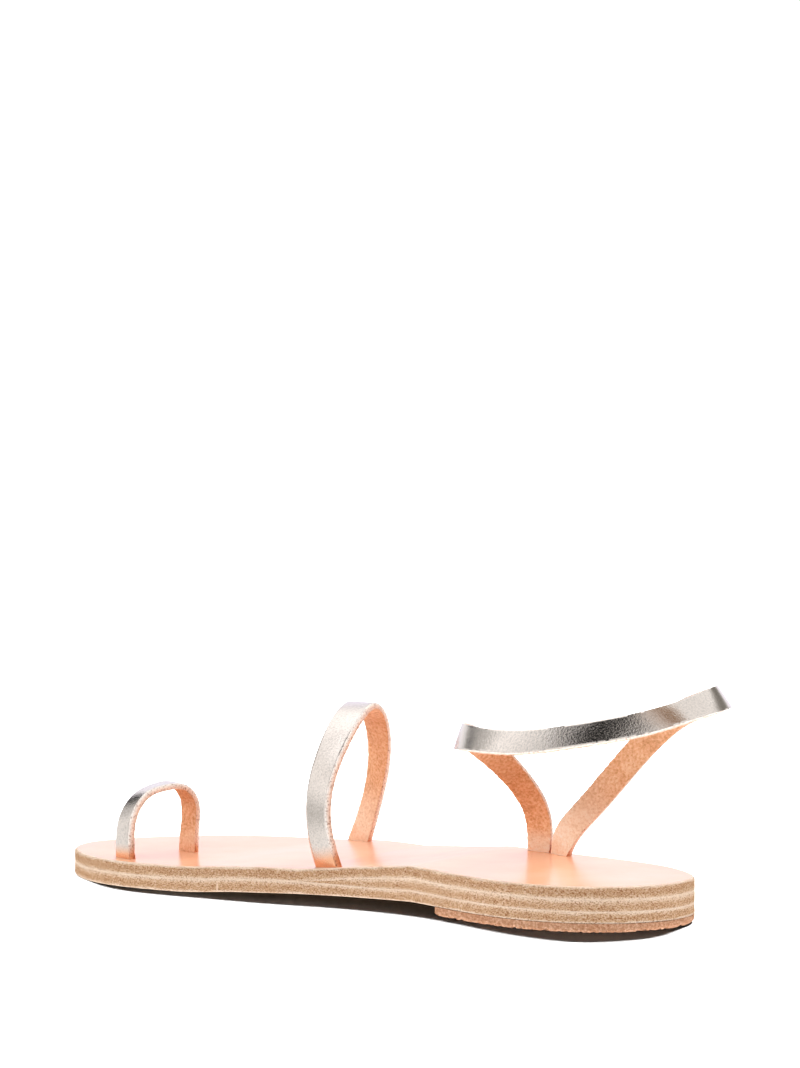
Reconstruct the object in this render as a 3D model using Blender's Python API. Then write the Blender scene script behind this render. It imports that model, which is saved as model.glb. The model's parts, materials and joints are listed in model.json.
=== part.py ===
"""A flat leather sandal for the right foot: a layered sole with a toe loop, an instep strap and an ankle strap.

Sizes are in millimetres until a mesh is made. Stations run along the sole from the heel end to the toe,
across is positive towards the inner (medial) side of the foot, and heights start at the floor.
"""

import math
from collections import namedtuple

import bmesh
import bpy
import numpy as np

METRES = 0.001
GAP = 0.3  # between pieces that lie on each other

SOLE_LENGTH = 250.0
SOLE_SLICES = 60
EDGE_CHAMFER = 0.6  # along the upper edge of the insole and the lower edges of outsole and heel
HEEL_BREAST = 81.5  # station of the rubber's front edge
HEEL_RUBBER = 2.8  # thickness of the rubber under the heel
LIFT_FRONT = 134.0  # station where the skived lift ends

STRAP_THICK = 2.2
STRAP_CHAMFER = 0.4
STRAP_RING_STEP = 2.6  # spacing of the rings along a strap
SLOT_DEPTH = 7.0  # how far a slot's cut runs past the end of its strap
SLOT_RINGS = 5  # rings of the strap that its slot follows
SMOOTH_ANGLE = math.radians(40)

# The sole's outline: how far it reaches to each side of the centre line.
Outline = namedtuple("Outline", "station medial lateral")
OUTLINE = (
    Outline(0.0, -1.5, -3.5),
    Outline(4.0, 12.0, -15.5),
    Outline(12.0, 22.0, -22.5),
    Outline(28.0, 31.0, -29.5),
    Outline(50.0, 34.2, -32.3),
    Outline(75.0, 30.0, -33.6),
    Outline(105.0, 23.4, -37.2),
    Outline(130.0, 26.3, -42.5),
    Outline(155.0, 33.2, -47.0),
    Outline(178.0, 38.6, -46.9),
    Outline(198.0, 42.0, -42.4),
    Outline(214.0, 42.6, -34.6),
    Outline(229.0, 38.5, -22.8),
    Outline(240.0, 31.0, -10.0),
    Outline(247.0, 22.6, 1.0),
    Outline(250.0, 12.5, 10.5),
)

# The sole's side: height of the underside, and thickness of each layer. The lift's column is the height
# that it gives the insole, so it includes the gap above it.
Profile = namedtuple("Profile", "station underside outsole lift insole")
PROFILE = (
    Profile(0.0, 3.1, 4.0, 4.2, 4.0),
    Profile(92.0, 3.1, 4.0, 4.2, 4.0),
    Profile(104.0, 2.6, 3.8, 3.9, 3.8),
    Profile(114.0, 2.3, 3.7, 3.4, 3.6),
    Profile(124.0, 2.2, 3.9, 2.3, 3.6),
    Profile(134.0, 2.1, 4.2, 0.8, 3.9),
    Profile(141.0, 2.0, 4.5, 0.0, 4.0),
    Profile(162.0, 1.4, 4.7, 0.0, 4.0),
    Profile(188.0, 0.0, 4.7, 0.0, 4.0),
    Profile(238.0, 0.0, 4.7, 0.0, 4.0),
    Profile(250.0, 0.4, 4.3, 0.0, 3.8),
)

# Each strap is a ribbon through these sections. Facing is the plan angle of its outer face, 0 to the toe and
# 90 to the inner side, and tilt is how far that face looks up.
Section = namedtuple("Section", "station across height facing tilt")
Strap = namedtuple("Strap", "width sections")
STRAPS = {
    "toe_strap": Strap(8.0, (
        Section(212.8, 35.4, 6.4, 78, 0),
        Section(213.3, 35.0, 15.5, 75, 9),
        Section(213.0, 32.2, 23.5, 70, 30),
        Section(211.7, 26.5, 30.0, 63, 54),
        Section(209.6, 19.0, 33.2, 63, 82),
        Section(207.6, 12.5, 32.0, 73, 120),
        Section(206.3, 8.4, 27.0, 79, 159),
        Section(205.6, 7.9, 18.2, 79, 187),
        Section(205.2, 9.6, 6.6, 85, 180),
    )),
    "instep_strap": Strap(10.0, (
        Section(131.5, 21.7, 9.9, 84, -8),
        Section(135.2, 22.5, 22.5, 81, 2),
        Section(137.8, 19.8, 35.5, 82, 20),
        Section(139.8, 11.6, 48.5, 92, 41),
        Section(142.5, -1.2, 59.5, 108, 60),
        Section(146.8, -16.4, 63.7, 101, 93),
        Section(151.3, -30.2, 57.7, 87, 133),
        Section(156.0, -39.3, 43.3, 77, 164),
        Section(161.7, -42.7, 26.0, 71, 183),
        Section(168.3, -42.8, 8.2, 78, 185),
    )),
    "ankle_strap": Strap(9.4, (
        Section(79.2, -30.6, 12.4, -94, -4),
        Section(78.0, -27.7, 29.1, -78, 23),
        Section(79.9, -17.6, 42.8, -59, 39),
        Section(80.9, -3.5, 53.3, -27.5, 41.5),
        Section(78.1, 12.9, 60.0, 7.5, 32),
        Section(70.2, 28.8, 62.5, 37, 18.7),
        Section(56.2, 39.0, 63.4, 68.5, 38),
        Section(37.6, 40.6, 64.1, 95, 39.6),
        Section(18.6, 33.6, 67.0, 111, 42.8),
        Section(2.3, 20.5, 70.7, 128, 43.2),
        Section(-7.2, 2.8, 75.0, 152, 50.5),
        Section(-6.4, -15.2, 76.8, 202.5, 37.5),
        Section(5.5, -28.8, 73.0, 249.5, 27),
        Section(24.8, -33.2, 65.6, 276.5, 15.5),
        Section(41.8, -32.3, 50.6, 276, -2.2),
        Section(56.3, -29.0, 33.2, 273.5, -5.5),
        Section(66.3, -28.2, 20.2, 259, -4),
        Section(69.0, -28.1, 13.4, 248, 0),
    )),
}

# Colour, roughness and metallic value of each material.
Finish = namedtuple("Finish", "colour roughness metallic")
FINISHES = {
    "strap_leather": Finish((0.72, 0.67, 0.60), 0.30, 1.0),
    "insole_leather": Finish((0.90, 0.62, 0.45), 0.40, 0.0),
    "sole_leather": Finish((0.60, 0.40, 0.25), 0.75, 0.0),
    "heel_rubber": Finish((0.45, 0.24, 0.13), 0.85, 0.0),
}


def spline(knots, values, at):
    """Natural cubic spline through the rows, for every column of values."""
    knots, values = np.asarray(knots, float), np.asarray(values, float)
    step = np.diff(knots)[:, None]
    last = len(knots) - 1
    system = np.eye(last + 1)
    change = np.zeros_like(values)
    slope = np.diff(values, axis=0) / step
    for i in range(1, last):
        before, after = step[i - 1, 0], step[i, 0]
        system[i, i - 1:i + 2] = before, 2 * (before + after), after
        change[i] = 6 * (slope[i] - slope[i - 1])
    bend = np.linalg.solve(system, change)
    i = np.clip(np.searchsorted(knots, at, side="right") - 1, 0, last - 1)
    a = (knots[i + 1] - at)[:, None] / step[i]
    b = 1 - a
    curve = (a ** 3 - a) * bend[i] + (b ** 3 - b) * bend[i + 1]
    return a * values[i] + b * values[i + 1] + curve * step[i] ** 2 / 6


def level(knots, values, at):
    """Cubic through the rows that stays flat between equal rows and never overshoots."""
    knots, values = np.asarray(knots, float), np.asarray(values, float)
    step = np.diff(knots)
    secant = np.diff(values) / step
    slope = np.zeros(len(knots))
    product = secant[:-1] * secant[1:]
    same = product > 0
    slope[1:-1][same] = 2 * product[same] / (secant[:-1] + secant[1:])[same]
    i = np.clip(np.searchsorted(knots, at, side="right") - 1, 0, len(step) - 1)
    u = (at - knots[i]) / step[i]
    rise = values[i] + (values[i + 1] - values[i]) * u * u * (3 - 2 * u)
    return rise + step[i] * u * (1 - u) * (slope[i] * (1 - u) - slope[i + 1] * u)


def around(station):
    """Turns a station into a share of the sole that is spread evenly round its two ends."""
    return np.arccos(np.clip(1 - 2 * np.asarray(station, float) / SOLE_LENGTH, -1, 1)) / math.pi


def outline(stations):
    """Medial and lateral edge of the sole at each station."""
    rows = np.array(OUTLINE)
    return spline(around(rows[:, 0]), rows[:, 1:], around(stations)).T


def side(stations):
    """Underside of the outsole and underside and top of the layers above it, at each station."""
    rows = np.array(PROFILE)
    underside, outsole, lift, insole = (level(rows[:, 0], column, stations) for column in rows[:, 1:].T)
    outsole_top = underside + outsole
    insole_bottom = outsole_top + GAP + lift
    return {
        "outsole": (underside, outsole_top),
        "heel_lift": (outsole_top + GAP, outsole_top + lift),
        "insole": (insole_bottom, insole_bottom + insole),
        "heel_top_piece": (np.zeros_like(stations), np.full_like(stations, HEEL_RUBBER)),
    }


def make_object(name, rings, material):
    """Joins rings of points, given in millimetres, into a closed solid with a cap at each end."""
    mesh = bpy.data.meshes.new(name)
    shape = bmesh.new()
    made = [[shape.verts.new(np.asarray(point) * METRES) for point in ring] for ring in rings]
    count = len(made[0])
    for ring, following in zip(made[:-1], made[1:]):
        for i in range(count):
            j = (i + 1) % count
            shape.faces.new((ring[i], ring[j], following[j], following[i]))
    shape.faces.new(made[0][::-1])
    shape.faces.new(made[-1])
    bmesh.ops.recalc_face_normals(shape, faces=shape.faces)
    shape.to_mesh(mesh)
    shape.free()
    mesh.shade_smooth()
    mesh.set_sharp_from_angle(angle=SMOOTH_ANGLE)
    mesh.materials.append(material)
    piece = bpy.data.objects.new(name, mesh)
    bpy.context.collection.objects.link(piece)
    return piece


def make_material(name):
    finish = FINISHES[name]
    material = bpy.data.materials.new(name)
    material.use_nodes = True
    shader = material.node_tree.nodes["Principled BSDF"]
    shader.inputs["Base Color"].default_value = (*finish.colour, 1.0)
    shader.inputs["Roughness"].default_value = finish.roughness
    shader.inputs["Metallic"].default_value = finish.metallic
    return material


def make_layer(name, front, material, upper_chamfer=0.0, lower_chamfer=0.0):
    """One layer of the sole, from the heel end to its front station."""
    share = np.linspace(0, float(around(front)), round(SOLE_SLICES * float(around(front))) + 1)
    stations = SOLE_LENGTH * (1 - np.cos(math.pi * share)) / 2
    medial, lateral = outline(stations)
    bottom, top = side(stations)[name]
    rings = []
    for x, inner, outer, low, high in zip(stations, medial, lateral, bottom, top):
        ring = []
        for edge, inward in ((outer, 1), (inner, -1)):
            wall = [(x, edge + inward * lower_chamfer, low)]
            if lower_chamfer:
                wall.append((x, edge, low + lower_chamfer))
            if upper_chamfer:
                wall.append((x, edge, high - upper_chamfer))
            wall.append((x, edge + inward * upper_chamfer, high))
            ring += wall if inward > 0 else wall[::-1]
        rings.append(ring)
    return make_object(name, rings, material)


def strap_rings(strap, clearance=0.0, extension=0.0):
    """Rings of a strap's section along its path, grown by a clearance and run on at both ends."""
    rows = np.array(strap.sections)
    reach = np.append(0, np.cumsum(np.linalg.norm(np.diff(rows[:, :3], axis=0), axis=1)))
    count = round(reach[-1] / STRAP_RING_STEP) + 1
    table = spline(reach, rows, np.linspace(0, reach[-1], count))
    path = table[:, :3]
    tangent = np.gradient(path, axis=0)
    tangent /= np.linalg.norm(tangent, axis=1, keepdims=True)
    facing, tilt = np.radians(table[:, 3:]).T
    normal = np.stack((np.cos(facing) * np.cos(tilt), np.sin(facing) * np.cos(tilt), np.sin(tilt)), axis=1)
    normal -= np.sum(normal * tangent, axis=1, keepdims=True) * tangent
    normal /= np.linalg.norm(normal, axis=1, keepdims=True)
    across = np.cross(normal, tangent)
    if extension:
        path[0] -= tangent[0] * extension
        path[-1] += tangent[-1] * extension

    wide, thick = strap.width / 2 + clearance, STRAP_THICK / 2 + clearance
    corners = []
    for sign_w, sign_t in ((1, -1), (1, 1), (-1, 1), (-1, -1)):
        low = (sign_w * (wide - STRAP_CHAMFER), sign_t * thick)
        high = (sign_w * wide, sign_t * (thick - STRAP_CHAMFER))
        corners += [low, high] if sign_w * sign_t < 0 else [high, low]
    return [[p + a * w + n * t for w, t in corners] for p, a, n in zip(path, across, normal)]


def make_strap(name, material):
    return make_object(name, strap_rings(STRAPS[name]), material)


def cut_slots(insole, name, material):
    """Cuts the slots that the two ends of a strap go through, with a gap all round."""
    rings = strap_rings(STRAPS[name], GAP, SLOT_DEPTH)
    cutters = []
    for end, foot in (("first", rings[:SLOT_RINGS]), ("last", rings[-SLOT_RINGS:])):
        cutter = make_object(f"{name}_{end}_slot_cutter", foot, material)
        cutter.hide_render = True
        cutter.display_type = "WIRE"
        cut = insole.modifiers.new(f"{name}_{end}_slot", "BOOLEAN")
        cut.operation = "DIFFERENCE"
        cut.solver = "EXACT"
        cut.object = cutter
        cutters.append(cutter)
    return cutters


def set_on_origin(pieces, guides):
    """Parents everything to an empty that puts the origin under the middle of the sandal's box."""
    points = np.array([vertex.co for piece in pieces for vertex in piece.data.vertices])
    middle = (points.min(axis=0) + points.max(axis=0)) / 2
    anchor = bpy.data.objects.new("sandal_frame", None)
    bpy.context.collection.objects.link(anchor)
    anchor.location = (-middle[0], -middle[1], 0.0)
    for piece in pieces + guides:
        piece.parent = anchor


def main():
    for old in list(bpy.data.objects):
        bpy.data.objects.remove(old, do_unlink=True)
    materials = {name: make_material(name) for name in FINISHES}
    sole_leather = materials["sole_leather"]
    insole = make_layer("insole", SOLE_LENGTH, materials["insole_leather"], upper_chamfer=EDGE_CHAMFER)
    pieces = [
        make_layer("outsole", SOLE_LENGTH, sole_leather, lower_chamfer=EDGE_CHAMFER),
        make_layer("heel_lift", LIFT_FRONT, sole_leather),
        make_layer("heel_top_piece", HEEL_BREAST, materials["heel_rubber"], lower_chamfer=EDGE_CHAMFER),
        insole,
    ]
    guides = []
    for name in STRAPS:
        pieces.append(make_strap(name, materials["strap_leather"]))
        guides += cut_slots(insole, name, materials["insole_leather"])
    set_on_origin(pieces, guides)


main()
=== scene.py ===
import json
import math

import bmesh
import bpy
import numpy as np
from mathutils import Matrix, Vector, noise

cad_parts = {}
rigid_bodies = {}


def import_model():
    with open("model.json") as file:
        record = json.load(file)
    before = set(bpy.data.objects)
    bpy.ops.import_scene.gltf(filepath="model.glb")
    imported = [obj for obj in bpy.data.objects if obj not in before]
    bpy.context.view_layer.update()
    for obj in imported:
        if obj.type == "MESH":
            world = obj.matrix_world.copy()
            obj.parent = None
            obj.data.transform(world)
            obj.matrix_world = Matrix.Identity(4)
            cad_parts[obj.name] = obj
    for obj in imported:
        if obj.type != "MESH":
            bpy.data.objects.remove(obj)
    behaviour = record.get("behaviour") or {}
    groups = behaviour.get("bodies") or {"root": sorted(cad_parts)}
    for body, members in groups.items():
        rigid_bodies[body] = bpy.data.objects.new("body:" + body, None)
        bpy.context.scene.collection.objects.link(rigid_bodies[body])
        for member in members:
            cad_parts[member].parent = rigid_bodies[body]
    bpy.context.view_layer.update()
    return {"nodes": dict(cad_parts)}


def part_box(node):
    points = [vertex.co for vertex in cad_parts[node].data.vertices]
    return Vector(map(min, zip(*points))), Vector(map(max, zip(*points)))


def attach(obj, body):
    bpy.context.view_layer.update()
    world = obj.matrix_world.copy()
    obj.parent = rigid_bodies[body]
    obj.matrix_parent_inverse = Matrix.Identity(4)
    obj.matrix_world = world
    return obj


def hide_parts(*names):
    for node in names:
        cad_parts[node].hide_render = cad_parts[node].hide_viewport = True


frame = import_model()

mm = 0.001
print("frame loaded:", ", ".join(sorted(frame["nodes"])))


def toLinear(hexColour):
    parts = [int(hexColour[i:i + 2], 16) / 255 for i in (1, 3, 5)]
    return [p / 12.92 if p <= 0.04045 else ((p + 0.055) / 1.055) ** 2.4 for p in parts] + [1.0]


def perMetre(sizeMm):
    return 1 / (sizeMm * mm)  # texture scale for a pattern whose features are that many mm apart


def addNode(tree, kind, settings=None, links=None):
    node = tree.nodes.new("ShaderNode" + kind)
    for key, value in (settings or {}).items():
        if key == "stops":  # position and colour, or position and grey value
            while len(node.color_ramp.elements) < len(value):
                node.color_ramp.elements.new(0.5)
            for element, (position, colour) in zip(node.color_ramp.elements, value):
                element.position = position
                element.color = toLinear(colour) if isinstance(colour, str) else (colour, colour, colour, 1)
        elif isinstance(key, int) or key in node.inputs:
            node.inputs[key].default_value = value
        else:
            setattr(node, key, value)
    for key, source in (links or {}).items():
        tree.links.new(source, node.inputs[key])
    return node


# A colour mix takes its share at input 0 and the two colours at 6 and 7, and gives its colour at output 2.
blend = {"data_type": "RGBA"}
multiply = {"data_type": "RGBA", "blend_type": "MULTIPLY"}


def newMaterial(name):
    material = bpy.data.materials.new(name)
    material.use_nodes = True
    material.node_tree.nodes.clear()
    return material, material.node_tree


def finishMaterial(tree, settings, links):
    shader = addNode(tree, "BsdfPrincipled", settings, links)
    addNode(tree, "OutputMaterial", None, {"Surface": shader.outputs[0]})


# Curves through the rows of a table.

def smoothCurve(knots, values, at):
    knots, values = np.asarray(knots, float), np.asarray(values, float)
    step = np.diff(knots)[:, None]
    last = len(knots) - 1
    system, change = np.eye(last + 1), np.zeros_like(values)
    slope = np.diff(values, axis=0) / step
    for i in range(1, last):
        before, after = step[i - 1, 0], step[i, 0]
        system[i, i - 1:i + 2] = before, 2 * (before + after), after
        change[i] = 6 * (slope[i] - slope[i - 1])
    bend = np.linalg.solve(system, change)
    i = np.clip(np.searchsorted(knots, at, side="right") - 1, 0, last - 1)
    a = (knots[i + 1] - at)[:, None] / step[i]
    b = 1 - a
    bow = ((a ** 3 - a) * bend[i] + (b ** 3 - b) * bend[i + 1]) * step[i] ** 2 / 6
    return a * values[i] + b * values[i + 1] + bow


def steadyCurve(knots, values, at):  # flat between equal rows, no overshoot
    knots, values = np.asarray(knots, float), np.asarray(values, float)
    step = np.diff(knots)
    secant = np.diff(values) / step
    slope = np.zeros(len(knots))
    product = secant[:-1] * secant[1:]
    same = product > 0
    slope[1:-1][same] = 2 * product[same] / (secant[:-1] + secant[1:])[same]
    i = np.clip(np.searchsorted(knots, at, side="right") - 1, 0, len(step) - 1)
    u = (at - knots[i]) / step[i]
    rise = values[i] + (values[i + 1] - values[i]) * u * u * (3 - 2 * u)
    return rise + step[i] * u * (1 - u) * (slope[i] * (1 - u) - slope[i + 1] * u)


# The sole's outline and side, in mm from the heel end, the centre line and the floor.

sole = {
    "length": 250.0,
    "outline": [  # station, inner edge, outer edge
        (0, -1.5, -3.5), (4, 12, -15.5), (12, 22, -22.5), (28, 31, -29.5), (50, 34.2, -32.3), (75, 30, -33.6),
        (105, 23.4, -37.2), (130, 26.3, -42.5), (155, 33.2, -47), (178, 38.6, -46.9), (198, 42, -42.4),
        (214, 42.6, -34.6), (229, 38.5, -22.8), (240, 31, -10), (247, 22.6, 1), (250, 12.5, 10.5),
    ],
    "side": [  # station, underside, thickness of outsole, lift and insole
        (0, 3.1, 4, 4.2, 4), (92, 3.1, 4, 4.2, 4), (104, 2.6, 3.8, 3.9, 3.8), (114, 2.3, 3.7, 3.4, 3.6),
        (124, 2.2, 3.9, 2.3, 3.6), (134, 2.1, 4.2, 0.8, 3.9), (141, 2, 4.5, 0, 4), (162, 1.4, 4.7, 0, 4),
        (188, 0, 4.7, 0, 4), (238, 0, 4.7, 0, 4), (250, 0.4, 4.3, 0, 3.8),
    ],
    "glueLine": 0.3,  # between the layers of the solids, filled here
    "rubberGap": 0.02,  # under the outsole
}


def endShare(station):  # 0 at the heel end and 1 at the toe, so that even steps lie closer at both ends
    return np.arccos(np.clip(1 - 2 * np.asarray(station, float) / sole["length"], -1, 1)) / math.pi


def soleEdges(stations):
    rows = np.array(sole["outline"], float)
    return smoothCurve(endShare(rows[:, 0]), rows[:, 1:], endShare(stations)).T


def soleHeights(stations):
    rows = np.array(sole["side"], float)
    underside, outsole, lift, insole = (steadyCurve(rows[:, 0], column, stations) for column in rows[:, 1:].T)
    middle = underside + outsole + sole["glueLine"] / 2
    return {
        "outsole": (underside, middle),
        "heelLift": (middle, middle + lift),
        "insole": (middle + lift, middle + lift + sole["glueLine"] / 2 + insole),
        "heelRubber": (np.zeros_like(stations), underside - sole["rubberGap"]),
    }


outerMost = soleEdges(np.linspace(0, sole["length"], 2001))[1].min()
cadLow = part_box("outsole")[0]
shift = np.array((cadLow.x / mm, cadLow.y / mm - outerMost, 0.0))  # from the sole's own mm to the frame
sandalPieces = bpy.data.collections.new("sandalPieces")
bpy.context.scene.collection.children.link(sandalPieces)


def addPiece(name, points, faces, faceMaterials, materials, values=None, sharpAngle=38):
    mesh = bpy.data.meshes.new(name)
    mesh.from_pydata(((np.asarray(points) + shift) * mm).tolist(), [], faces)
    for material in materials:
        mesh.materials.append(material)
    mesh.polygons.foreach_set("material_index", np.asarray(faceMaterials, np.int32))
    for key, rows in (values or {}).items():
        rows = np.asarray(rows, np.float32)
        kind, field = ("FLOAT", "value") if rows.ndim == 1 else ("FLOAT_VECTOR", "vector")
        mesh.attributes.new(key, kind, "POINT").data.foreach_set(field, rows.ravel())
    shape = bmesh.new()
    shape.from_mesh(mesh)
    bmesh.ops.recalc_face_normals(shape, faces=shape.faces)
    shape.to_mesh(mesh)
    shape.free()
    mesh.shade_smooth()
    mesh.set_sharp_from_angle(angle=math.radians(sharpAngle))
    piece = bpy.data.objects.new(name, mesh)
    sandalPieces.objects.link(piece)
    return piece


def rough(points, scale, seed):  # uneven values between -1 and 1, scale in waves per mm
    a, b, c = scale
    return np.array([noise.noise(Vector((x * a + seed, y * b - seed, z * c))) for x, y, z in points])


def sandedEdge(name, stops, scratches=()):
    # Vegetable-tanned sole leather, cut and sanded: dry, open fibres that scatter the light, with no gloss.
    # Each sheet is palest at its skin and darkest in its core.
    material, tree = newMaterial(name)
    place = addNode(tree, "TexCoord").outputs["Object"]
    layer = addNode(tree, "Attribute", {"attribute_name": "layerShare"}).outputs["Fac"]
    streakPlace = addNode(tree, "Mapping", {"Scale": (1, 1, 6)}, {"Vector": place})
    streak = addNode(tree, "TexNoise", {"Scale": perMetre(9), "Detail": 4, "Roughness": 0.62},
                     {"Vector": streakPlace.outputs[0]})
    bent = addNode(tree, "Math", {"operation": "MULTIPLY_ADD", 1: 0.5, 2: -0.25}, {0: streak.outputs["Fac"]})
    share = addNode(tree, "Math", {"operation": "ADD"}, {0: layer, 1: bent.outputs[0]})
    body = addNode(tree, "ValToRGB", {"stops": stops}, {"Fac": share.outputs[0]})
    speckPlace = addNode(tree, "Mapping", {"Scale": (1, 1, 1.7)}, {"Vector": place})
    # Fibres of 0.1 mm, drawn coarser to show.
    speck = addNode(tree, "TexNoise", {"Scale": perMetre(0.62), "Detail": 2, "Roughness": 0.6},
                    {"Vector": speckPlace.outputs[0]}).outputs["Fac"]
    # The skin is denser than the core.
    loose = addNode(tree, "ValToRGB", {"stops": [(0.80, 1.0), (0.96, 0.2)]}, {"Fac": layer})
    dots = addNode(tree, "ValToRGB", {"stops": [(0.32, 0.85), (0.51, 0.0)]}, {"Fac": speck})
    dark = addNode(tree, "Math", {"operation": "MULTIPLY"}, {0: dots.outputs[0], 1: loose.outputs[0]})
    pale = addNode(tree, "ValToRGB", {"stops": [(0.52, 0.0), (0.68, 1.0)]}, {"Fac": speck})
    darker = addNode(tree, "Mix", {**multiply, 7: toLinear("#a07757")},
                     {0: dark.outputs[0], 6: body.outputs[0]})
    paleShare = addNode(tree, "Math", {"operation": "MULTIPLY", 1: 0.36}, {0: pale.outputs[0]})
    colour = addNode(tree, "Mix", {**blend, 7: toLinear("#f6e4d2")},
                     {0: paleShare.outputs[0], 6: darker.outputs[2]}).outputs[2]
    scratchHalf = (0.55, 12, 2.4)  # mm along, into and up the edge
    for spot in scratches:  # a pale upright scratch at that place, in the sole's mm
        reach = [perMetre(half) for half in scratchHalf]
        start = [-(a + b) * mm * r for a, b, r in zip(spot, shift, reach)]
        near = addNode(tree, "Mapping", {"Scale": reach, "Location": start}, {"Vector": place})
        far = addNode(tree, "VectorMath", {"operation": "LENGTH"}, {0: near.outputs[0]})
        line = addNode(tree, "ValToRGB", {"stops": [(0.45, 0.7), (1.0, 0.0)]}, {"Fac": far.outputs["Value"]})
        colour = addNode(tree, "Mix", {**blend, 7: toLinear("#f0d6bc")},
                         {0: line.outputs[0], 6: colour}).outputs[2]
    bump = addNode(tree, "Bump", {"Strength": 0.7, "Distance": 0.25 * mm}, {"Height": speck})
    finishMaterial(tree, {"Roughness": 0.9, "IOR": 1.5, "Specular IOR Level": 0.1},
                   {"Base Color": colour, "Normal": bump.outputs[0]})
    return material


# Colours of each sheet's edge, from its underside up.
insoleEdge = sandedEdge("sanded insole edge", [
    (0.0, "#e4c8ac"), (0.20, "#cba582"), (0.45, "#bb916d"),
    (0.74, "#c49c78"), (0.88, "#e4c6aa"), (1.0, "#f1dbc7"),
])
liftEdge = sandedEdge("sanded lift edge", [
    (0.0, "#d6b494"), (0.22, "#c49b77"), (0.46, "#c8a07d"),
    (0.68, "#d9b899"), (0.86, "#e5cbb2"), (1.0, "#ead3bd"),
])
outsoleEdge = sandedEdge("sanded outsole edge", [
    (0.0, "#e4cab2"), (0.10, "#e1c5ab"), (0.17, "#caa37f"), (0.45, "#c19772"),
    (0.68, "#d0ab89"), (0.86, "#e3c8af"), (1.0, "#ead3bd"),
], [(170, 36.9, 2.6)])


def insoleLeather():
    # Vegetable-tanned cowhide, natural colour, rolled and waxed: even peach tan with fine hair pores and
    # a clear gloss that whitens at a low angle and mirrors the straps.
    material, tree = newMaterial("natural insole leather")
    place = addNode(tree, "TexCoord").outputs["Object"]
    cloud = addNode(tree, "TexNoise", {"Scale": perMetre(38), "Detail": 4, "Roughness": 0.55},
                    {"Vector": place}).outputs["Fac"]
    tan = addNode(tree, "ValToRGB", {"stops": [(0.3, "#f3b28b"), (0.5, "#f8ba94"), (0.72, "#fac0a0")]},
                  {"Fac": cloud})
    # Pores of 0.2 mm, drawn coarser to show.
    pore = addNode(tree, "TexVoronoi", {"Scale": perMetre(0.9), "Randomness": 1.0}, {"Vector": place})
    poreDark = addNode(tree, "ValToRGB", {"stops": [(0.06, 0.86), (0.22, 1.0)]},
                       {"Fac": pore.outputs["Distance"]})
    colour = addNode(tree, "Mix", {**multiply, 0: 1.0}, {6: tan.outputs[0], 7: poreDark.outputs[0]})
    crease = addNode(tree, "TexNoise", {"Scale": perMetre(1.6), "Detail": 5, "Roughness": 0.6},
                     {"Vector": place})
    gloss = addNode(tree, "ValToRGB", {"stops": [(0.3, 0.235), (0.7, 0.268)]}, {"Fac": cloud})
    bump = addNode(tree, "Bump", {"Strength": 0.06, "Distance": 0.05 * mm}, {"Height": crease.outputs["Fac"]})
    finishMaterial(tree, {
        "IOR": 1.5, "Specular IOR Level": 0.5, "Coat Weight": 0.45, "Coat Roughness": 0.25, "Coat IOR": 1.5,
    }, {"Base Color": colour.outputs[2], "Roughness": gloss.outputs[0], "Normal": bump.outputs[0]})
    return material


def soleUnderside():
    # The same leather with its skin down, buffed and a little scuffed: matt, a shade darker than the insole.
    material, tree = newMaterial("buffed outsole leather")
    place = addNode(tree, "TexCoord").outputs["Object"]
    cloud = addNode(tree, "TexNoise", {"Scale": perMetre(22), "Detail": 6, "Roughness": 0.6},
                    {"Vector": place})
    tan = addNode(tree, "ValToRGB", {"stops": [(0.3, "#c99c74"), (0.6, "#d9b08a"), (0.8, "#e2bf9c")]},
                  {"Fac": cloud.outputs["Fac"]})
    grain = addNode(tree, "TexVoronoi", {"Scale": perMetre(1.1)}, {"Vector": place})
    bump = addNode(tree, "Bump", {"Strength": 0.25, "Distance": 0.08 * mm},
                   {"Height": grain.outputs["Distance"]})
    finishMaterial(tree, {"Roughness": 0.62, "IOR": 1.5, "Specular IOR Level": 0.35},
                   {"Base Color": tan.outputs[0], "Normal": bump.outputs[0]})
    return material


def groundRubber():
    # Moulded brown rubber, cut and ground: matt, with a fine grit that shows as small lighter grains.
    material, tree = newMaterial("ground brown rubber")
    place = addNode(tree, "TexCoord").outputs["Object"]
    grit = addNode(tree, "TexNoise", {"Scale": perMetre(0.8), "Detail": 3, "Roughness": 0.7},
                   {"Vector": place}).outputs["Fac"]
    cloud = addNode(tree, "TexNoise", {"Scale": perMetre(14), "Detail": 3}, {"Vector": place})
    brown = addNode(tree, "ValToRGB", {"stops": [(0.3, "#9c6a4c"), (0.5, "#c29577"), (0.7, "#e6c2a8")]},
                    {"Fac": grit})
    colour = addNode(tree, "Mix", {**multiply, 7: toLinear("#e6cdb8")},
                     {0: cloud.outputs["Fac"], 6: brown.outputs[0]})
    bump = addNode(tree, "Bump", {"Strength": 0.6, "Distance": 0.15 * mm}, {"Height": grit})
    finishMaterial(tree, {"Roughness": 0.85, "IOR": 1.52, "Specular IOR Level": 0.15},
                   {"Base Color": colour.outputs[2], "Normal": bump.outputs[0]})
    return material


insoleTop = insoleLeather()
outsoleGrain = soleUnderside()
rubberGrit = groundRubber()
print("sole materials made")

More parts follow.
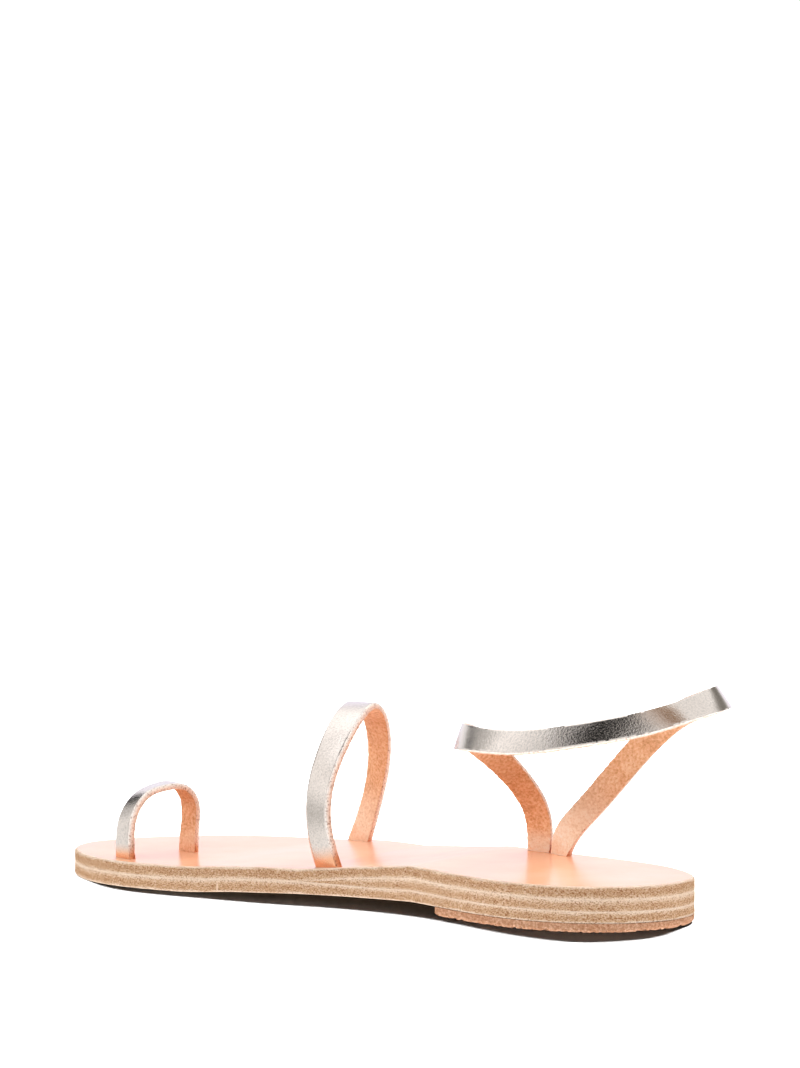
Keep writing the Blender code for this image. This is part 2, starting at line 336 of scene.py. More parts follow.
edgeSide, topSide, underSide = 0, 1, 2  # order of a layer's materials
plainLayer = {  # what a layer has unless its own dictionary says otherwise
    "front": 250.0,  # mm from the heel end
    "lowRound": 0.06,  # mm, how far the lower and the upper edge are rounded
    "highRound": 0.06,
    "roundRows": (5, 6),
    "wallRows": 8,
    "skinRows": 0,  # upper rows that are rolled over with the skin
    "wear": 0.07,  # mm, unevenness of the sanded edge
    "nibble": 0.0,  # mm, depth of the bites at the lower edge
    "nibbleHeight": 1.1,
    "heelWear": 0.0,  # mm, walked off at the heel end
    "heelReach": 9,
    "slices": 380,
    "acrossSteps": 34,
}


def soleLayer(name, piece, materials):
    front = float(endShare(piece["front"]))
    count = round(piece["slices"] * front) + 1
    share = np.linspace(0, front, count)
    stations = sole["length"] * (1 - np.cos(math.pi * share)) / 2
    inner, outer = soleEdges(stations)
    low, high = soleHeights(stations)[piece["layer"]]
    loop = np.concatenate((np.stack((stations, inner), 1), np.stack((stations, outer), 1)[::-1]))
    loopLow, loopHigh = np.concatenate((low, low[::-1])), np.concatenate((high, high[::-1]))
    ahead = np.roll(loop, -1, 0) - np.roll(loop, 1, 0)
    inward = np.stack((ahead[:, 1], -ahead[:, 0]), 1)
    inward /= np.linalg.norm(inward, axis=1, keepdims=True)
    thick = loopHigh - loopLow
    worn = piece["heelWear"] * np.exp(-(loop[:, 0] / piece["heelReach"]) ** 2)
    lowRound = np.minimum(piece["lowRound"] + worn, thick * 0.7)
    highRound = np.minimum(piece["highRound"], thick * 0.3)

    rows = []  # inset, height
    lowRows, highRows = piece["roundRows"]
    for a in np.linspace(0, math.pi / 2, lowRows):
        rows.append((lowRound * (1 - math.sin(a)), loopLow + lowRound * (1 - math.cos(a))))
    for u in np.linspace(0, 1, piece["wallRows"] + 2)[1:-1]:
        rows.append((np.zeros(len(loop)), (1 - u) * (loopLow + lowRound) + u * (loopHigh - highRound)))
    for a in np.linspace(0, math.pi / 2, highRows):
        rows.append((highRound * (1 - math.cos(a)), loopHigh - highRound * (1 - math.sin(a))))

    points, shares = [], []
    for inset, height in rows:
        ring = np.column_stack((loop + inward * inset[:, None], height))
        wear = piece["wear"] * (rough(ring, (0.35, 0.35, 1.1), 3.7) + 0.6 * rough(ring, (1.3, 1.3, 2.3), 9.1))
        wear[(height - loopLow < 1e-6) | (loopHigh - height < 1e-6)] *= 0.3  # less at the flat faces
        lowShare = np.clip(1 - (height - loopLow) / piece["nibbleHeight"], 0, 1)
        ragged = rough(ring, (0.75, 0.75, 0.2), 15.3) + 0.5 * rough(ring, (2.1, 2.1, 0.3), 5.9) + 0.15
        bite = piece["nibble"] * lowShare * np.clip(ragged, 0, 1)
        ring[:, :2] += inward * (wear + bite * 0.6)[:, None]
        ring[:, 2] += bite
        points.append(ring)
        shares.append((height - loopLow) / np.maximum(thick, 1e-6))
    size, rowCount = len(loop), len(rows)
    faces, kinds = [], []
    for k in range(rowCount - 1):
        kind = edgeSide if k < rowCount - 1 - piece["skinRows"] else topSide
        for j in range(size):
            following = (j + 1) % size
            faces.append((k * size + j, k * size + following, (k + 1) * size + following, (k + 1) * size + j))
            kinds.append(kind)

    def cap(row, height, kind, level):  # closes a row with lines from the inner to the outer edge
        ringStart = row * size
        base = sum(len(p) for p in points)
        border = points[row]
        steps = piece["acrossSteps"]
        made, ladder = [], []
        for i in range(count):
            a, b = border[i], border[size - 1 - i]
            line = [ringStart + i]
            for u in np.linspace(0, 1, steps + 1)[1:-1]:
                line.append(base + len(made))
                made.append(a + (b - a) * u)
            line.append(ringStart + size - 1 - i)
            ladder.append(line)
        made = np.array(made)
        made[:, 2] = np.interp(made[:, 0], stations, height)
        points.append(made)
        shares.append(np.full(len(made), level))
        for first, second in zip(ladder[:-1], ladder[1:]):
            for i in range(steps):
                faces.append((first[i], first[i + 1], second[i + 1], second[i]))
                kinds.append(kind)

    cap(0, low, underSide, 0.0)
    cap(rowCount - 1, high, topSide, 1.0)
    values = {"layerShare": np.concatenate(shares)}
    return addPiece(name, np.concatenate(points), faces, kinds, materials, values)


outsole = {**plainLayer, "layer": "outsole", "lowRound": 0.4, "wallRows": 9}
outsolePiece = soleLayer("outsole_leather", outsole, [outsoleEdge, outsoleEdge, outsoleGrain])
heelLift = {**plainLayer, "layer": "heelLift", "front": 141.0, "acrossSteps": 20}
heelLiftPiece = soleLayer("heel_lift_leather", heelLift, [liftEdge, liftEdge, liftEdge])
insole = {**plainLayer, "layer": "insole", "highRound": 1.1, "skinRows": 1}
insolePiece = soleLayer("insole_leather", insole, [insoleEdge, insoleTop, insoleEdge])
heelRubber = {
    **plainLayer, "layer": "heelRubber", "front": 81.5, "lowRound": 0.9, "wallRows": 6,
    "wear": 0.10, "nibble": 1.2, "heelWear": 1.3, "slices": 1000, "acrossSteps": 14,
}
heelRubberPiece = soleLayer("heel_rubber", heelRubber, [rubberGrit, rubberGrit, rubberGrit])
print("sole layers built")


def foilLeather():
    # Cowhide with a champagne silver foil pressed on: a soft metal mirror, broken by the hide's fine pebble.
    material, tree = newMaterial("champagne foil leather")
    place = addNode(tree, "TexCoord").outputs["Object"]
    # Grain of 0.3 mm, drawn coarser to show.
    pebble = addNode(tree, "TexNoise", {"Scale": perMetre(0.7), "Detail": 3, "Roughness": 0.65},
                     {"Vector": place}).outputs["Fac"]
    cloud = addNode(tree, "TexNoise", {"Scale": perMetre(16), "Detail": 3}, {"Vector": place})
    tone = addNode(tree, "ValToRGB", {"stops": [(0.3, "#dad1c9"), (0.7, "#e4dbd3")]},
                   {"Fac": cloud.outputs["Fac"]})
    # The foil is darker in the pits of the grain.
    pit = addNode(tree, "ValToRGB", {"stops": [(0.36, 0.86), (0.54, 1.0)]}, {"Fac": pebble})
    colour = addNode(tree, "Mix", {**multiply, 0: 1.0}, {6: tone.outputs[0], 7: pit.outputs[0]})
    gloss = addNode(tree, "ValToRGB", {"stops": [(0.3, 0.13), (0.7, 0.08)]}, {"Fac": pebble})
    strap = addNode(tree, "Attribute", {"attribute_name": "strapPlace"}).outputs["Vector"]
    parts = addNode(tree, "SeparateXYZ", None, {0: strap})
    # The hide is smoother past 172 mm of the ankle strap.
    relief = addNode(tree, "MapRange", {"From Min": 158, "From Max": 172, "To Min": 1.0, "To Max": 0.4},
                     {"Value": parts.outputs["X"]})
    bump = addNode(tree, "Bump", {"Distance": 0.085 * mm}, {"Height": pebble, "Strength": relief.outputs[0]})
    turned = addNode(tree, "Mapping", {"Rotation": (0, 0, 0.9), "Scale": (0.16, 1.9, 0)}, {"Vector": strap})
    lines = addNode(tree, "TexNoise", {"Scale": 1.0, "Detail": 1, "Roughness": 0.4},
                    {"Vector": turned.outputs[0]})
    # Rubbed lines, 0.3 mm wide.
    scratch = addNode(tree, "ValToRGB", {"stops": [(0.70, 0.0), (0.73, 0.5)]}, {"Fac": lines.outputs["Fac"]})
    rubbed = addNode(tree, "Mix", {**blend, 7: toLinear("#f2ece6")},
                     {0: scratch.outputs[0], 6: colour.outputs[2]})
    # Painted reflection: the foil is tinted orange where it meets the tan insole, standing in for the insole
    # mirrored in it.
    paintedFoot = addNode(tree, "Attribute", {"attribute_name": "footGlow"})
    insoleReflection = addNode(tree, "Mix", {**blend, 7: toLinear("#f0b48c")},
                   {0: paintedFoot.outputs["Fac"], 6: rubbed.outputs[2]})
    finishMaterial(tree, {"Metallic": 1.0},
                   {"Base Color": insoleReflection.outputs[2], "Roughness": gloss.outputs[0], "Normal": bump.outputs[0]})
    return material


def rawCut():
    # The knife-cut side of the strap: pink fibres, paler just under the foil, fuzzy and matt.
    material, tree = newMaterial("raw cut leather edge")
    place = addNode(tree, "TexCoord").outputs["Object"]
    strap = addNode(tree, "Attribute", {"attribute_name": "strapPlace"})
    parts = addNode(tree, "SeparateXYZ", None, {0: strap.outputs["Vector"]})
    body = addNode(tree, "ValToRGB", {
        "stops": [(0.15, "#fff6ee"), (0.42, "#fae2d3"), (0.72, "#efc2aa"), (1.0, "#efc6ae")],
    }, {"Fac": parts.outputs["Z"]})
    # Fibres of 0.1 mm, drawn coarser to show.
    fibre = addNode(tree, "TexNoise", {"Scale": perMetre(0.7), "Detail": 3, "Roughness": 0.7},
                    {"Vector": place}).outputs["Fac"]
    shade = addNode(tree, "ValToRGB", {"stops": [(0.34, "#a06f5a"), (0.5, "#ffffff")]}, {"Fac": fibre})
    fuzzy = addNode(tree, "Mix", {**multiply, 0: 0.8}, {6: body.outputs[0], 7: shade.outputs[0]})
    # Painted shade: darker and more orange where it enters the slot, standing in for the shade and the
    # insole's bounce there.
    foot = addNode(tree, "Attribute", {"attribute_name": "footGlow"})
    colour = addNode(tree, "Mix", {**multiply, 7: toLinear("#e2a680")},
                     {0: foot.outputs["Fac"], 6: fuzzy.outputs[2]})
    bump = addNode(tree, "Bump", {"Strength": 0.8, "Distance": 0.2 * mm}, {"Height": fibre})
    finishMaterial(tree, {
        "Roughness": 0.9, "Specular IOR Level": 0.2, "Sheen Weight": 0.25, "Sheen Roughness": 0.5,
    }, {"Base Color": colour.outputs[2], "Normal": bump.outputs[0]})
    return material


def fleshSide():
    # The unfinished inside of the hide: orange-tan nap like suede, mottled, with a few dark specks.
    # It is painted paler towards each foot, standing in for light thrown up from the bright insole.
    material, tree = newMaterial("raw suede inside")
    place = addNode(tree, "TexCoord").outputs["Object"]
    # Nap of 0.2 mm, drawn coarser to show.
    nap = addNode(tree, "TexNoise", {"Scale": perMetre(1.0), "Detail": 4, "Roughness": 0.7},
                  {"Vector": place}).outputs["Fac"]
    cloud = addNode(tree, "TexNoise", {"Scale": perMetre(11), "Detail": 4, "Roughness": 0.6},
                    {"Vector": place})
    both = addNode(tree, "Mix", {"data_type": "FLOAT", 0: 0.28}, {2: nap, 3: cloud.outputs["Fac"]}).outputs[0]
    tan = addNode(tree, "ValToRGB", {"stops": [(0.36, "#cd8e62"), (0.5, "#edb489"), (0.64, "#fed4ad")]},
                  {"Fac": both})
    # Painted bounce light: the paler nap colours used towards each foot.
    paintedBounce = addNode(tree, "ValToRGB", {"stops": [(0.36, "#efcfae"), (0.5, "#ffe8d0"), (0.64, "#fff4e6")]},
                      {"Fac": both})
    foot = addNode(tree, "Attribute", {"attribute_name": "nearFoot"})
    body = addNode(tree, "Mix", blend, {0: foot.outputs["Fac"], 6: tan.outputs[0], 7: paintedBounce.outputs[0]})
    dots = addNode(tree, "TexVoronoi", {"Scale": perMetre(17)}, {"Vector": place})
    dot = addNode(tree, "ValToRGB", {"stops": [(0.018, "#7d4a30"), (0.03, "#ffffff")]},
                  {"Fac": dots.outputs["Distance"]})
    dotted = addNode(tree, "Mix", {**multiply, 0: 0.8}, {6: body.outputs[2], 7: dot.outputs[0]})
    # Painted shade: the nap is drawn a little darker right where it enters the slot.
    slotEnd = addNode(tree, "Attribute", {"attribute_name": "footGlow"})
    colour = addNode(tree, "Mix", {**multiply, 7: toLinear("#fbe8dd")},
                     {0: slotEnd.outputs["Fac"], 6: dotted.outputs[2]})
    bump = addNode(tree, "Bump", {"Strength": 0.6, "Distance": 0.15 * mm}, {"Height": nap})
    finishMaterial(tree, {
        "Roughness": 0.92, "Specular IOR Level": 0.2, "Sheen Weight": 0.3, "Sheen Roughness": 0.45,
    }, {"Base Color": colour.outputs[2], "Normal": bump.outputs[0]})
    return material


strapMaterials = [foilLeather(), rawCut(), fleshSide()]
foilFace, cutFace, napFace = 0, 1, 2  # order of the strap's materials
strapLeather = {  # mm
    "thick": 2.2,
    "crown": 0.08,  # how far the foil side is domed
    "foilRound": 0.12,
    "napRound": 0.12,
    "step": 0.6,  # along the strap
    "ragged": 0.28,  # unevenness of the cut sides
    "foilWave": 0.05,
    "napWave": 0.08,
    "hidden": 4,  # length inside the slot
}
slotCut = {
    "clearance": 0.15,  # mm round the strap
    "step": 2.6,
    "rings": 5,
    "past": 7,  # mm, how far the cutter goes on below the strap's end
}
print("strap materials made")


def strapFrames(piece, step):
    rows = np.array(piece["rows"], float)
    reach = np.append(0, np.cumsum(np.linalg.norm(np.diff(rows[:, :3], axis=0), axis=1)))
    along = np.linspace(0, reach[-1], round(reach[-1] / step) + 1)
    table = smoothCurve(reach, rows, along)
    path = table[:, :3]
    tangent = np.gradient(path, axis=0)
    tangent /= np.linalg.norm(tangent, axis=1, keepdims=True)
    facing, tilt = np.radians(table[:, 3:]).T
    normal = np.stack((np.cos(facing) * np.cos(tilt), np.sin(facing) * np.cos(tilt), np.sin(tilt)), 1)
    normal -= np.sum(normal * tangent, 1, keepdims=True) * tangent
    normal /= np.linalg.norm(normal, axis=1, keepdims=True)
    across = np.cross(normal, tangent)
    return along, path, tangent, normal, across


def strapSection(piece):  # across, height, face
    half, thick = piece["width"] / 2, strapLeather["thick"] / 2
    outer, inner = half - strapLeather["foilRound"], half - strapLeather["napRound"]
    shoulder = thick - strapLeather["crown"] - strapLeather["foilRound"]
    face = np.linspace(-1, 1, 13)
    wall = np.linspace(shoulder, -thick + strapLeather["napRound"], 5)
    section = [(u * outer, thick - strapLeather["crown"] * u * u, foilFace) for u in face]
    section += [(half, t, cutFace) for t in wall]
    section += [(u * inner, -thick, napFace) for u in face[::-1]]
    section += [(-half, t, cutFace) for t in wall[::-1]]
    return section


def strapPiece(name, piece):
    along, path, _, normal, across = strapFrames(piece, strapLeather["step"])
    section = strapSection(piece)
    half, thick = piece["width"] / 2, strapLeather["thick"] / 2
    size, count = len(section), len(along)
    reach, foilLean, napLean = np.array(piece["flare"], float).T
    foilLean, napLean = np.interp(along, reach, foilLean), np.interp(along, reach, napLean)
    points, places = [], []
    for w, t, kind in section:
        depth = (thick - t) / (2 * thick)
        sway = np.column_stack((along, np.full(count, w), np.full(count, t)))
        frayed = strapLeather["ragged"] * (0.15 + 0.85 * depth) * rough(sway, (0.9, 0.4, 0.7), piece["seed"])
        leaned = w * (1 + (foilLean * (1 - depth) + napLean * depth) / half)
        spread = leaned + np.sign(w) * frayed * (abs(w) / half) ** 8  # the power keeps it to the cut sides
        lift = np.full(count, t)
        if kind == foilFace:
            lift = lift + strapLeather["foilWave"] * rough(sway, (0.10, 0.13, 0), piece["seed"] + 5)
        elif kind == napFace:
            lift = lift + strapLeather["napWave"] * rough(sway, (0.55, 0.55, 0), piece["seed"] + 11)
        points.append(path + across * spread[:, None] + normal * lift[:, None])
        places.append(np.column_stack((along, np.full(count, w), np.full(count, depth))))
    rings = np.stack(points, 1).reshape(-1, 3)
    faces, kinds = [], []
    for i in range(count - 1):
        for k in range(size):
            j = (k + 1) % size
            faces.append((i * size + k, i * size + j, (i + 1) * size + j, (i + 1) * size + k))
            first, second = section[k][2], section[j][2]
            kinds.append(first if first == second else cutFace)
    faces += [tuple(range(size))[::-1], tuple(range(len(rings) - size, len(rings)))]
    kinds += [cutFace, cutFace]
    # Painted bounce light on the nap near each foot, and at the very foot painted insole reflection on the
    # foil and painted shade on the cut sides and nap.
    firstBounce, lastBounce = piece["paintedBounce"]
    fromFirst = along - strapLeather["hidden"]  # mm from the insole, at either foot
    fromLast = along[-1] - along - strapLeather["hidden"]
    nearFoot = np.maximum(1 - fromFirst / firstBounce, 1 - fromLast / lastBounce).clip(0, 1)
    footGlow = np.clip(1 - np.minimum(fromFirst, fromLast) / piece["paintedFoot"], 0, 1) ** 1.4
    values = {
        "strapPlace": np.stack(places, 1).reshape(-1, 3),
        "nearFoot": np.repeat(piece["pale"] * nearFoot * nearFoot * (3 - 2 * nearFoot), size),
        "footGlow": np.repeat(footGlow, size),
    }
    return addPiece(name, rings, faces, kinds, strapMaterials, values, 50)


def slotCutters(piece):
    _, path, tangent, normal, across = strapFrames(piece, slotCut["step"])
    half = piece["width"] / 2 + slotCut["clearance"]
    thick = strapLeather["thick"] / 2 + slotCut["clearance"]
    count = slotCut["rings"]
    cutters = []
    for end in (slice(0, count), slice(-count, None)):
        line = path[end].copy()
        if end.start == 0:
            line[0] -= tangent[0] * slotCut["past"]
        else:
            line[-1] += tangent[-1] * slotCut["past"]
        rings = [p + a * w + n * t for p, a, n in zip(line, across[end], normal[end])
                 for w, t in ((half, -thick), (half, thick), (-half, thick), (-half, -thick))]
        faces = []
        for i in range(0, 4 * count - 4, 4):
            for k in range(4):
                j = (k + 1) % 4
                faces.append((i + k, i + j, i + 4 + j, i + 4 + k))
        faces += [(3, 2, 1, 0), tuple(range(4 * count - 4, 4 * count))]
        cutters.append(addPiece("slot_cutter", np.array(rings), faces, [0] * len(faces), [insoleEdge]))
    return cutters


toeStrap = {
    "width": 8.0,
    "seed": 2.0,
    "paintedBounce": (6, 10),  # mm of painted bounce light on the suede at the first and the last foot
    "pale": 0.28,
    "paintedFoot": 4.0,  # mm of painted insole reflection on the foil, and painted shade on the cut sides and nap, at each foot
    "flare": [  # mm along, mm wider a side at the foil and at the nap
        (0, -0.15, 0.85), (36, -0.1, 0.7), (48, 0, 0.2),
    ],
    "rows": [  # station, across, height, plan angle of the outer face, how far it looks up
        (213.2, 35.5, 6.4, 78, 0), (213.7, 35.2, 15.5, 75, 9), (213.6, 33.2, 24, 70, 30),
        (212.1, 27.2, 30.8, 63, 54), (209.6, 19, 33.2, 63, 82), (207.3, 11.9, 32.6, 73, 120),
        (206, 7.8, 27.4, 79, 159), (205.6, 7.9, 18.2, 79, 187), (205.2, 9.6, 6.6, 85, 180),
    ],
}
toePiece = strapPiece("toe_loop", toeStrap)
instepStrap = {
    "width": 10.0,
    "seed": 23.0,
    "paintedBounce": (10, 26),
    "pale": 0.72,
    "paintedFoot": 5.5,
    "flare": [(0, -0.1, 0.8), (70, -0.1, 0.7), (85, 0, 0.2)],
    "rows": [
        (131.8, 21.9, 9.9, 84, -8), (135.5, 22.7, 22.5, 81, 2), (138.1, 20, 35.5, 82, 20),
        (140, 11.7, 48.5, 92, 41), (142.5, -1.2, 59.5, 108, 60), (146.8, -16.4, 63.7, 101, 93),
        (151.3, -30.2, 57.7, 87, 133), (156, -39.3, 43.3, 77, 164), (161.7, -42.7, 26, 71, 183),
        (168.3, -42.8, 8.2, 78, 185),
    ],
}
instepPiece = strapPiece("instep_strap_leather", instepStrap)
ankleStrap = {
    "width": 9.4,
    "seed": 47.0,
    "paintedBounce": (9, 38),
    "pale": 1.0,
    "paintedFoot": 5.0,
    "flare": [
        (55, 0, 0.1), (70, 0, -0.5), (200, 0, -0.5), (214, 0, -0.85), (238, 0, -0.85),
        (254, 0, 0.1), (280, 0, 0.2), (296, 0, 0), (305, 0, 0.5), (311, 0, -0.4),
    ],
    "rows": [
        (79.2, -30.6, 12.4, -94, -4), (78, -27.7, 29.1, -78, 23), (79.9, -17.6, 42.8, -59, 39),
        (80.9, -3.5, 53.3, -27.5, 41.5), (78.1, 12.9, 60, 7.5, 32), (70.2, 28.8, 62.5, 37, 18.7),
        (56.2, 39, 63.4, 68.5, 38), (37.6, 40.6, 64.1, 95, 39.6), (18.6, 33.6, 67, 111, 42.8),
        (2.3, 20.5, 70.7, 128, 43.2), (-7.2, 2.8, 75, 152, 50.5), (-6.4, -15.2, 76.8, 202.5, 37.5),
        (5.5, -28.8, 73.9, 249.5, 27), (24.8, -33.2, 65.9, 276.5, 15.5), (41.8, -32.3, 50.6, 276, -2.2),
        (56.7, -29.1, 33.2, 273.5, -5.5), (66.9, -28.0, 20.2, 259, -4), (69, -28.1, 13.4, 248, 0),
    ],
}
anklePiece = strapPiece("ankle_strap_leather", ankleStrap)
print("straps built")

for strap in (toeStrap, instepStrap, ankleStrap):
    for cutter in slotCutters(strap):
        cut = insolePiece.modifiers.new("slot", "BOOLEAN")
        cut.operation = "DIFFERENCE"
        cut.solver = "EXACT"
        cut.object = cutter
bpy.context.view_layer.update()
slotted = bpy.data.meshes.new_from_object(insolePiece.evaluated_get(bpy.context.evaluated_depsgraph_get()))
insolePiece.modifiers.clear()
insolePiece.data = slotted
# The cut faces round the slots are shaded as the smooth skin.
corners = np.array([corner.vector for corner in slotted.corner_normals])
cornerVertices = np.zeros(len(slotted.loops), np.int32)
slotted.loops.foreach_get("vertex_index", cornerVertices)
spots = np.array([vertex.co for vertex in slotted.vertices])[cornerVertices]
stationAt = spots[:, 0] / mm - shift[0]
rise = soleHeights(stationAt + 0.5)["insole"][1] - soleHeights(stationAt - 0.5)["insole"][1]  # over 1 mm
skinNormal = np.column_stack((-rise, np.zeros_like(rise), np.ones_like(rise)))
skinNormal /= np.linalg.norm(skinNormal, axis=1, keepdims=True)
onTop = np.zeros(len(slotted.loops), bool)
for face in slotted.polygons:
    if face.normal.z > 0.9 and face.material_index == topSide:
        onTop[face.loop_start:face.loop_start + face.loop_total] = True
corners[onTop] = skinNormal[onTop]
slotted.normals_split_custom_set(corners.tolist())
for cutter in [o for o in sandalPieces.objects if o.name.startswith("slot_cutter")]:
    bpy.data.objects.remove(cutter)
print("slots cut:", len(slotted.polygons), "faces in the insole")

pieces = {  # solid: the piece that stands for it, the record's material slot
    "outsole": (outsolePiece, "sole_leather"),
    "heel_lift": (heelLiftPiece, "sole_leather"),
    "insole": (insolePiece, "insole_leather"),
    "heel_top_piece": (heelRubberPiece, "heel_rubber"),
    "toe_strap": (toePiece, "strap_leather"),
    "instep_strap": (instepPiece, "strap_leather"),
    "ankle_strap": (anklePiece, "strap_leather"),
}
for node, (piece, slot) in pieces.items():
    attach(piece, "root")
    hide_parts(node)
print("pieces named:", ", ".join(pieces))

studio = {
    "floorWhite": "#d8d8d8",
    "floorHalf": 3.5,  # m
    "floorDrop": 0.05,  # mm under the sandal
    "wallRadius": 3.3,  # m, the white wall that stands round the floor
    "wallFoot": -0.02,
    "wallHeight": 2.5,
    "wallSides": 48,
    "white": 1.1,  # brightness of the wall, and of the white tent that the sandal mirrors
    "cards": [  # in the tent: plan angle, height angle, inner and outer radius in degrees, share of light
        (85, 76, 11.5, 15.8, (0.02, 0.019, 0.018)),
        (72, 70, 10, 28, (0.68, 0.68, 0.68)),
        (-152, 78.5, 4, 11, (0.66, 0.58, 0.53)),
        (-133, 76, 2.5, 6.5, (0.47, 0.33, 0.22)),
        (-91, 24, 3, 18, (0.24, 0.23, 0.21)),
        (-18, 25.5, 6.2, 12.5, (0.0, 0.0, 0.0)),
        (2, 21, 4, 14, (0.60, 0.60, 0.60)),
        (5, 39, 4, 14, (0.47, 0.47, 0.46)),
        (34.3, 6.5, 3, 12.5, (0.60, 0.60, 0.59)),
        (28, 36, 7, 17, (1.13, 1.12, 1.12)),
        (-15, 62, 14, 32, (1.4, 1.4, 1.42)),
        (-53, -6, 4, 9, (0.80, 0.80, 0.80)),
        (-53, 9, 15, 35, (1.0, 0.98, 1.10)),
    ],
    "aim": (0, 0, 0.02),  # m
    "lights": {  # plan angle, height angle, distance and size in m, brightness, what it lights
        # Either panel alone whitens the floor, so only the part shaded from both is dark.
        "toePanel": (-27, 29.5, 4.4, 0.4, 0.3, 2050.0, "floor"),
        "heelPanel": (-80, 36, 4.4, 0.4, 0.3, 1750.0, "floor"),
        "frontKey": (92, 36, 2.2, 1.8, 1.2, 2.9, "sandal"),
        "lowFront": (115, -8, 2.2, 1.2, 0.8, 1.5, "sandal"),
        "heelSide": (197, 28, 2.2, 1.2, 1.0, 8.8, "sandal"),
        "toeSide": (45, 25, 2.2, 1.2, 1.0, 5.5, "sandal"),
        "backSide": (-65, 35, 2.4, 1.8, 1.2, 4.5, "sandal"),
        "topSoft": (-60, 76, 2.0, 1.6, 1.6, 2.4, "sandal"),
        "floorGlow": (0, -90, 1.0, 3.0, 3.0, 2.8, "sandal"),  # what white paper throws back up
    },
}
floorPart = bpy.data.collections.new("floorPart")
bpy.context.scene.collection.children.link(floorPart)
floorMesh = bpy.data.meshes.new("floor")
half = studio["floorHalf"]
floorCorners = ((-half, -half), (half, -half), (half, half), (-half, half))
floorMesh.from_pydata([(x, y, -studio["floorDrop"] * mm) for x, y in floorCorners], [], [(0, 1, 2, 3)])
floor = bpy.data.objects.new("floor", floorMesh)
floorPart.objects.link(floor)
# Matt white paper: takes a shadow, with no gloss.
paper, paperTree = newMaterial("white paper")
finishMaterial(paperTree, {
    "Base Color": toLinear(studio["floorWhite"]), "Roughness": 0.95, "Specular IOR Level": 0.1,
}, None)
floorMesh.materials.append(paper)
floor.visible_diffuse = False  # it only takes the shadow
floor.visible_glossy = False

radius, sides = studio["wallRadius"], studio["wallSides"]
wallPoints = []
for height in (studio["wallFoot"], studio["wallHeight"]):
    for k in range(sides):
        turn = math.tau * k / sides
        wallPoints.append((radius * math.cos(turn), radius * math.sin(turn), height))
wallFaces = [(k, (k + 1) % sides, sides + (k + 1) % sides, sides + k) for k in range(sides)]
wallMesh = bpy.data.meshes.new("backdrop")
wallMesh.from_pydata(wallPoints, [], wallFaces)
backdrop = bpy.data.objects.new("backdrop", wallMesh)
bpy.context.scene.collection.objects.link(backdrop)
# A white wall under even light: plain white, with no shade of its own.
litWall, litWallTree = newMaterial("evenly lit white wall")
litWall.cycles.emission_sampling = "NONE"
finishMaterial(litWallTree, {
    "Base Color": toLinear("#000000"), "Specular IOR Level": 0.0,
    "Emission Color": toLinear("#ffffff"), "Emission Strength": studio["white"],
}, None)
wallMesh.materials.append(litWall)
backdrop.visible_diffuse = False  # it is only looked at, and lights nothing
backdrop.visible_glossy = False
backdrop.visible_shadow = False


def towards(angle, up):
    a, e = math.radians(angle), math.radians(up)
    return Vector((math.cos(a) * math.cos(e), math.sin(a) * math.cos(e), math.sin(e)))


world = bpy.data.worlds.new("studio")
bpy.context.scene.world = world
world.use_nodes = True
world.cycles_visibility.diffuse = False  # the tent is only mirrored, the lamps light the matt surfaces
worldTree = world.node_tree
worldTree.nodes.clear()
direction = addNode(worldTree, "TexCoord").outputs["Generated"]
tent = addNode(worldTree, "RGB").outputs[0]
tent.default_value = (studio["white"],) * 3 + (1,)
for angle, up, inner, outer, share in studio["cards"]:
    near = addNode(worldTree, "VectorMath", {"operation": "DOT_PRODUCT", 1: towards(angle, up)},
                   {0: direction})
    card = addNode(worldTree, "MapRange", {
        "interpolation_type": "SMOOTHSTEP",
        "From Min": math.cos(math.radians(outer)), "From Max": math.cos(math.radians(inner)),
    }, {"Value": near.outputs["Value"]})
    tent = addNode(worldTree, "Mix", {**multiply, 7: share + (1,)}, {0: card.outputs[0], 6: tent}).outputs[2]
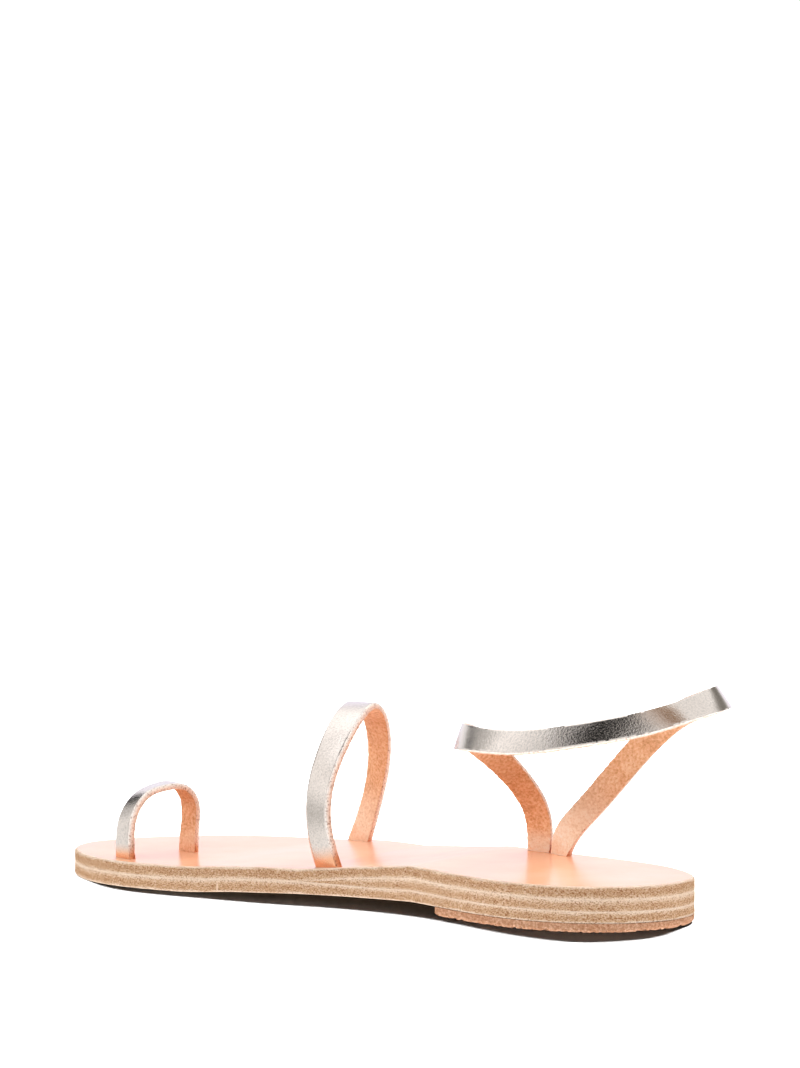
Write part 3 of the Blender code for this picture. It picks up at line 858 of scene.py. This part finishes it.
sky = addNode(worldTree, "Background", None, {"Color": tent})
addNode(worldTree, "OutputWorld", None, {"Surface": sky.outputs[0]})

soleParts = bpy.data.collections.new("soleParts")
for piece in (outsolePiece, heelLiftPiece, insolePiece, heelRubberPiece):
    soleParts.objects.link(piece)
    piece.visible_diffuse = piece is insolePiece  # the lit edges do not fill the shadow
# What each kind of lamp lights and what blocks it: thin straps leave no shadow on the floor.
linked = {"floor": (floorPart, soleParts), "sandal": (sandalPieces, sandalPieces)}
for name, (angle, up, distance, width, depth, brightness, lit) in studio["lights"].items():
    lamp = bpy.data.lights.new(name, "AREA")
    lamp.shape = "RECTANGLE"
    lamp.size, lamp.size_y = width, depth
    lamp.energy = brightness * math.pi * width * depth
    holder = bpy.data.objects.new(name, lamp)
    bpy.context.scene.collection.objects.link(holder)
    holder.location = Vector(studio["aim"]) + towards(angle, up) * distance
    holder.rotation_mode = "QUATERNION"
    holder.rotation_quaternion = towards(angle, up).to_track_quat("Z", "Y")
    holder.visible_camera = False
    holder.visible_glossy = False
    holder.light_linking.receiver_collection, holder.light_linking.blocker_collection = linked[lit]

photoView = {
    "eye": (-945.7, 1421.7, 278.9),  # mm, as the sole's tables
    "forward": (0.5967, -0.7979, -0.0851),
    "up": (0.0513, -0.0679, 0.9964),
    "focal": 5111.1,  # pixels of the 800 x 1068 frame
    "longSide": 1068,
    "sensor": 36,  # mm
}
lens = bpy.data.cameras.new("photoCamera")
lens.sensor_width = photoView["sensor"]
lens.lens = photoView["focal"] / photoView["longSide"] * lens.sensor_width
lens.clip_start, lens.clip_end = 0.05, 60
camera = bpy.data.objects.new("photoCamera", lens)
bpy.context.scene.collection.objects.link(camera)
back = -Vector(photoView["forward"]).normalized()
right = Vector(photoView["up"]).cross(back).normalized()
eye = Vector((np.array(photoView["eye"]) + shift) * mm)
camera.matrix_world = Matrix.Translation(eye) @ Matrix((right, back.cross(right), back)).transposed().to_4x4()
bpy.context.scene.camera = camera
bpy.context.scene.view_settings.view_transform = "Standard"
print("stage set")
